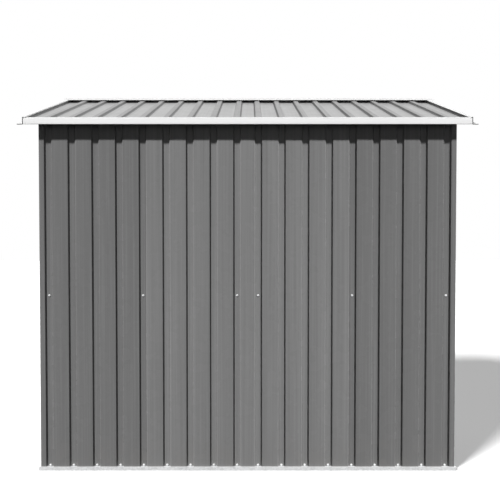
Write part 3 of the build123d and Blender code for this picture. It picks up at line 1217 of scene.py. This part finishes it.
@dataclass
class Roof(SubAssembly):
    """Roof sheets with raised ribs, the ridge cap and the trims round them."""

    lip: float = 0.006
    play: float = 0.0006
    ridge_gap: float = 0.003
    cap_half: float = 0.076
    drop: float = 0.0145
    hem: float = 0.004
    cover: float = 0.022
    gable_flange: float = 0.025
    gable_cover: float = 0.01
    gable_rise: float = 0.005
    gable_hem: float = 0.0038
    end_hem: float = 0.0034
    end_depth: float = 0.0012
    end_proud: float = 0.0004
    verges: tuple[Verge, ...] = (
        Verge("back_left", Side.BACK, End.LEFT),
        Verge("back_right", Side.BACK, End.RIGHT),
        Verge("front_left", Side.FRONT, End.RIGHT),
        Verge("front_right", Side.FRONT, End.LEFT),
    )

    def sheets(self) -> list[Sheet]:
        """The four roof sheets.

        Returns:
            The sheets.
        """
        s = self.shed
        end = s.gable_x - s.trim - self.play
        edge_rib = end - self.lip + s.profile.floor / 2
        ribs = both(np.append(s.long_ribs, edge_rib))
        low = (s.trim + self.play + s.roof_rib * math.sin(s.slope)) / math.cos(s.slope)
        high = s.slope_length - self.ridge_gap
        flat = s.flat_lap / 2
        raised = {"fold": Fold.OUTWARD, "profile": replace(s.profile, depth=s.roof_rib)}
        found = []
        for side, first, second in (
            (Side.BACK, "back_left", "back_right"),
            (Side.FRONT, "front_right", "front_left"),
        ):
            slope = s.roof(side)
            found += [
                Sheet(f"roof_{first}", slope, ribs, -end, flat, low, high, layer=0, **raised),
                Sheet(f"roof_{second}", slope, ribs, -flat, end, low, high, layer=1, **raised),
            ]
        return found

    def ridge_cap(self) -> FoldedBar:
        """The cap that bends over the ridge and rests on the gable trims.

        Returns:
            The cap.
        """
        s = self.shed
        top = s.pan_at_ridge + (s.roof_rib + self.gable_rise + s.trim) / math.cos(s.slope)
        edge = top - self.cap_half * math.tan(s.slope)
        end = s.gable_x + self.gable_flange
        path = [(-self.cap_half, edge), (0.0, top), (self.cap_half, edge)]
        ridge = Place((0.0, 0.0, 0.0), (0, 1, 0), UP, (1, 0, 0))
        return FoldedBar("ridge_cap", ridge, path, s.trim, -end, end)

    def eave_trim(self, side: Side) -> FoldedBar:
        """The trim over the lower edge of a slope: hem, face, and cover over the ribs.

        Args:
            side: The long wall under it.

        Returns:
            The trim.
        """
        s = self.shed
        rise, run = math.sin(s.slope), math.cos(s.slope)
        face, end = -s.eave_overhang, s.gable_x - s.trim
        top = s.pan_at_eave + (s.roof_rib + s.trim) / run
        low = s.pan_at_eave - self.drop / run
        cover = (face + self.cover * run, top + self.cover * rise)
        path = [(face + self.hem, low), (face, low), (face, top), cover]
        name = f"eave_trim_{side.name.lower()}"
        return FoldedBar(name, s.wall(side).section(), path, s.trim, -end, end)

    def gable_path(self, at: End) -> list[Span]:
        """The gable trim's path on a slope: flange, face, cover and turned-down edge.

        Args:
            at: The slope's end.

        Returns:
            Points along the slope's width and depth.
        """
        s = self.shed
        face, inner = at * s.gable_x, at * (s.gable_x - self.gable_cover)
        top = -s.roof_rib - self.gable_rise
        flange = (at * (s.gable_x + self.gable_flange), self.drop)
        return [flange, (face, self.drop), (face, top), (inner, top), (inner, top + self.gable_hem)]

    def gable_trim(self, verge: Verge) -> FoldedBar:
        """The trim along a verge, cut upright at eave and ridge.

        Args:
            verge: The verge.

        Returns:
            The trim.
        """
        s = self.shed
        node, path = f"gable_trim_{verge.name}", self.gable_path(verge.end)[:: verge.end]
        cut = -math.tan(s.slope)
        return FoldedBar(node, s.roof(verge.slope), path, s.trim, 0.0, s.slope_length, cut=cut)

    def cut_end(self, verge: Verge) -> FoldedBar:
        """The hemmed lower end of a gable trim's flange and face: a bare cut edge, coloured near black
        as painted shade.

        Args:
            verge: The verge.

        Returns:
            The end.
        """
        s = self.shed
        swell = (self.end_hem - s.trim) / 2
        path = shifted_path(np.array(self.gable_path(verge.end)[:-2][:: verge.end]), swell)
        node, cut, ends = f"cut_end_{verge.name}", -math.tan(s.slope), (-self.end_proud, self.end_depth)
        return FoldedBar(node, s.roof(verge.slope), path, self.end_hem, *ends, cut=cut)

    def build(self) -> None:
        """Builds and dresses the roof."""
        for sheet in self.sheets():
            self.hand_over(sheet.build(), self.finishes.roof, Slot.GREY, sheet.node)
        eaves = [self.eave_trim(side) for side in (Side.BACK, Side.FRONT)]
        gables = [self.gable_trim(verge) for verge in self.verges]
        for bar in (self.ridge_cap(), *eaves, *gables):
            self.hand_over(bar.build(), self.finishes.trim, Slot.WHITE, bar.node)
        for verge in self.verges:
            self.hand_over(self.cut_end(verge).build(), self.finishes.cut, Slot.STEEL)


@dataclass
class Doorway(SubAssembly):
    """White jambs set in the last ribs beside the doors, and the lintel between them."""

    jamb_cover: float = 0.003
    lintel_face: float = 0.082

    def bars(self) -> list[FoldedBar]:
        """The two jambs and the lintel.

        Returns:
            The bars.
        """
        s = self.shed
        front, deep = s.wall(Side.FRONT), s.rail_depth
        low, high = s.wall_top - self.lintel_face, s.wall_top
        outer = s.lap_at + s.lap_reach
        inner = s.lap_at - s.profile.floor / 2 - self.jamb_cover
        found = []
        for node, at in (("door_jamb_left", End.RIGHT), ("door_jamb_right", End.LEFT)):
            out, near = at * outer, at * inner
            jamb = [(out, s.profile.depth), (out, 0.0), (near, 0.0), (near, deep)]
            found.append(FoldedBar(node, front, jamb[::at], s.trim, s.ledge, high))
        lintel = [(deep, low), (0.0, low), (0.0, high), (deep, high)]
        found.append(FoldedBar("door_lintel", front.section(), lintel, s.trim, -inner, inner))
        return found

    def build(self) -> None:
        """Builds and dresses the bars."""
        for bar in self.bars():
            self.hand_over(bar.build(), self.finishes.trim, Slot.WHITE, bar.node)


@dataclass
class Fixings(SubAssembly):
    """Screws with washers that hold the sheets to the rails."""

    screw: Screw = Screw()
    foot: float = 0.0208
    middle: float = 0.792
    middle_long: tuple[int, ...] = (0, 4, 8)
    middle_short: tuple[int, ...] = (0, 5)

    def rows(self, side: Side) -> list[tuple[Array, float]]:
        """Rows of screws on a wall: at every rib along the foot, at some along the middle rail.

        Args:
            side: Which wall.

        Returns:
            Places along the wall, and the height of each row.
        """
        s = self.shed
        if side is Side.FRONT:
            return [(both(s.long_ribs[s.lap_rib :]), self.foot)]
        ribs, some = s.short_ribs, self.middle_short
        if side is Side.BACK:
            ribs, some = s.long_ribs, self.middle_long
        return [(both(ribs), self.foot), (both(ribs[list(some)]), self.middle)]

    def spots(self, side: Side) -> tuple[Array, Array]:
        """Spots on a wall's groove floors.

        A floor lies a rib's depth behind the wall's face, and one sheet deeper
        for each layer in front of its panel: none at a long wall's corner panels,
        else one left of the middle and two right of it.

        Args:
            side: Which wall.

        Returns:
            Points and outward directions.
        """
        s, wall, rows = self.shed, self.shed.wall(side), self.rows(side)
        along = np.concatenate([places for places, _ in rows])
        up = np.concatenate([np.full(len(places), height) for places, height in rows])
        layer = np.where(along < 0, 1, 2)
        if side in (Side.BACK, Side.FRONT):
            layer[np.abs(along) > s.lap_at - s.lap_reach] = 0
        spots = wall.world(along, s.profile.depth + s.profile.thickness * layer, up)
        return spots, np.broadcast_to(-np.array(wall.b, float), spots.shape)

    def build(self) -> None:
        """Builds and dresses the screws and their washers, one piece of each for each wall."""
        kinds = (
            ("screws", self.screw.heads(), self.finishes.screw, Slot.STEEL),
            ("washers", self.screw.washers(), self.finishes.washer, Slot.WHITE),
        )
        for side in Side:
            for part, rings, finish, slot in kinds:
                points, faces = self.screw.lathe(rings, *self.spots(side))
                name = f"{part}_{side.name.lower()}_wall"
                piece = put_mesh(name, points, faces, Marks.plain(len(points)))
                self.hand_over(piece, finish, slot)


@dataclass
class PackedPieces(SubAssembly):
    """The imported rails, beam, track, door frames, feet and handles, which keep their own meshes."""

    rails: tuple[str, ...] = ("base_rail", "mid_rail", "top_rail", "ridge_beam", "door_track")
    mouldings: tuple[str, ...] = ("door_handles", "door_feet")
    frames: tuple[str, ...] = ("door_left_frame", "door_right_frame")

    def build(self) -> None:
        """Dresses these nodes, by how their names start, and reports them."""
        kinds = (
            (self.rails, self.finishes.rail),
            (self.mouldings, self.finishes.moulding),
            (self.frames, self.finishes.trim),
        )
        for name, node in frame["nodes"].items():
            for starts, finish in kinds:
                if name.startswith(starts):
                    for place in node.material_slots:
                        place.material = finish.material
                    log.info("%s: %s", name, finish.name)


@dataclass(frozen=True)
class Beam:
    """Light from a far lamp: its height, its swing to the left of the plain wall's front, and its size.

    These are in degrees, and its strength is the lamp's own.
    """

    height: float
    swing: float
    size: float
    strength: float

    def mirrored(self) -> "Beam":
        """The same beam from the other side."""
        return replace(self, swing=-self.swing)


@dataclass(frozen=True)
class Lamp:
    """A far lamp and the pieces that it reaches or leaves out."""

    name: str
    beam: Beam
    reach: Reach
    pieces: tuple[str, ...]

    def build(self) -> None:
        """Hangs the lamp, which gloss doesn't show, and links it to its pieces."""
        lamp = bpy.data.lights.new(self.name, "SUN")
        lamp.energy = self.beam.strength
        lamp.angle = math.radians(self.beam.size)
        key = bpy.data.objects.new(self.name, lamp)
        lean = math.pi / 2 - math.radians(self.beam.height)
        key.rotation_euler = (lean, 0.0, -math.radians(self.beam.swing))
        key.visible_glossy = False
        bpy.context.scene.collection.objects.link(key)
        listed = bpy.data.collections.new(f"{self.name}_pieces")
        for piece in self.pieces:
            listed.objects.link(bpy.data.objects[piece])
        for entry in listed.collection_objects:
            entry.light_linking.link_state = self.reach.value
        key.light_linking.receiver_collection = listed


@dataclass
class Sky(NodeWork):
    """A world that is white to the eye and in gloss, and whose light comes from behind and the right."""

    level: float = 0.112
    fill: float = 2.6
    fill_edge: float = 0.5
    fill_from: Triple = (0.55, 0.76, 0.35)

    def build(self) -> None:
        """Hangs the sky.

        The fill's strength follows the cosine of the angle to its middle, and falls
        to the sky's own level where that cosine reaches the fill's edge.
        """
        world = bpy.data.worlds.new("studio")
        world.use_nodes = True
        self.tree = world.node_tree
        ray = self.add("ShaderNodeTexCoord").outputs["Generated"]
        aim = self.add("ShaderNodeVectorMath", ray, self.fill_from, operation="DOT_PRODUCT")
        near, levels = (self.fill_edge, 1.0), (self.level, self.fill)
        fill = self.ranged(aim.outputs["Value"], near, levels, Easing.SOFT)
        strength = self.add("ShaderNodeMix", Factor=self.looked_at(), A=fill, B=1.0)
        background = self.tree.nodes["Background"]
        self.put(grey(1.0), background.inputs["Color"])
        self.put(strength.outputs["Result"], background.inputs["Strength"])
        bpy.context.scene.world = world


@dataclass
class Stage:
    """Floor, light and camera."""

    floor_half: float = 30.0
    key: Beam = Beam(54.0, 39.0, 3.5, 5.3)
    trims_key: Beam = Beam(18.0, 39.0, 3.5, 4.1)
    floor_key: Beam = Beam(39.5, 46.5, 14.0, 7.2)
    eye: Triple = (0.0105, -3.0755, 1.0239)
    tilt: float = math.radians(1.2)
    lift: float = 0.0111
    lens: float = 39.27
    right_half: tuple[str, ...] = (
        "sheet_back_wall_corner_right",
        "sheet_back_wall_middle_right",
        "sheet_roof_back_right",
    )
    trim_starts: tuple[str, ...] = ("bar_ridge_cap", "bar_eave_trim", "bar_gable_trim")

    def floor(self) -> None:
        """A flat square floor."""
        span = np.array([-1.0, 1.0]) * self.floor_half
        x, y = np.meshgrid(span, span, indexing="ij")
        points = np.stack([x, y, np.zeros_like(x)], axis=-1).reshape(-1, 3)
        mesh = bpy.data.meshes.new("floor")
        mesh.from_pydata(points.tolist(), [], [(0, 2, 3, 1)])
        mesh.materials.append(FloorWhite("floor_white").material)
        floor = bpy.data.objects.new("floor", mesh)
        bpy.context.scene.collection.objects.link(floor)

    def lamps(self) -> list[Lamp]:
        """The key, its mirror image for the right half, and lower ones for trims and floor.

        Returns:
            The lamps.
        """
        trims = tuple(piece for piece in bpy.data.objects.keys() if piece.startswith(self.trim_starts))
        others = (*self.right_half, *trims, "floor")
        return [
            Lamp("key_left", self.key, Reach.ALL_BUT, others),
            Lamp("key_right", self.key.mirrored(), Reach.ONLY, self.right_half),
            Lamp("key_trims", self.trims_key, Reach.ONLY, trims),
            Lamp("key_floor", self.floor_key, Reach.ONLY, ("floor",)),
        ]

    def camera(self) -> None:
        """A camera in front of the plain wall, tilted a little down."""
        data = bpy.data.cameras.new("eye")
        data.lens = self.lens
        data.shift_y = self.lift
        eye = bpy.data.objects.new("eye", data)
        eye.location = self.eye
        eye.rotation_euler = (math.pi / 2 - self.tilt, 0.0, 0.0)
        bpy.context.scene.collection.objects.link(eye)
        bpy.context.scene.camera = eye
        bpy.context.scene.view_settings.view_transform = "Standard"

    def build(self) -> None:
        """Sets the whole stage."""
        self.floor()
        Sky().build()
        for lamp in self.lamps():
            lamp.build()
        self.camera()


def main() -> None:
    """Builds the shed's looks and the stage."""
    logging.basicConfig(level=logging.INFO)
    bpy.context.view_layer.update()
    shed = Shed()
    finishes = Finishes()
    for sub_assembly in (Walls, Roof, Doorway, Fixings, PackedPieces):
        sub_assembly(shed, finishes).build()
    Stage().build()


if __name__ == "__main__":
    main()
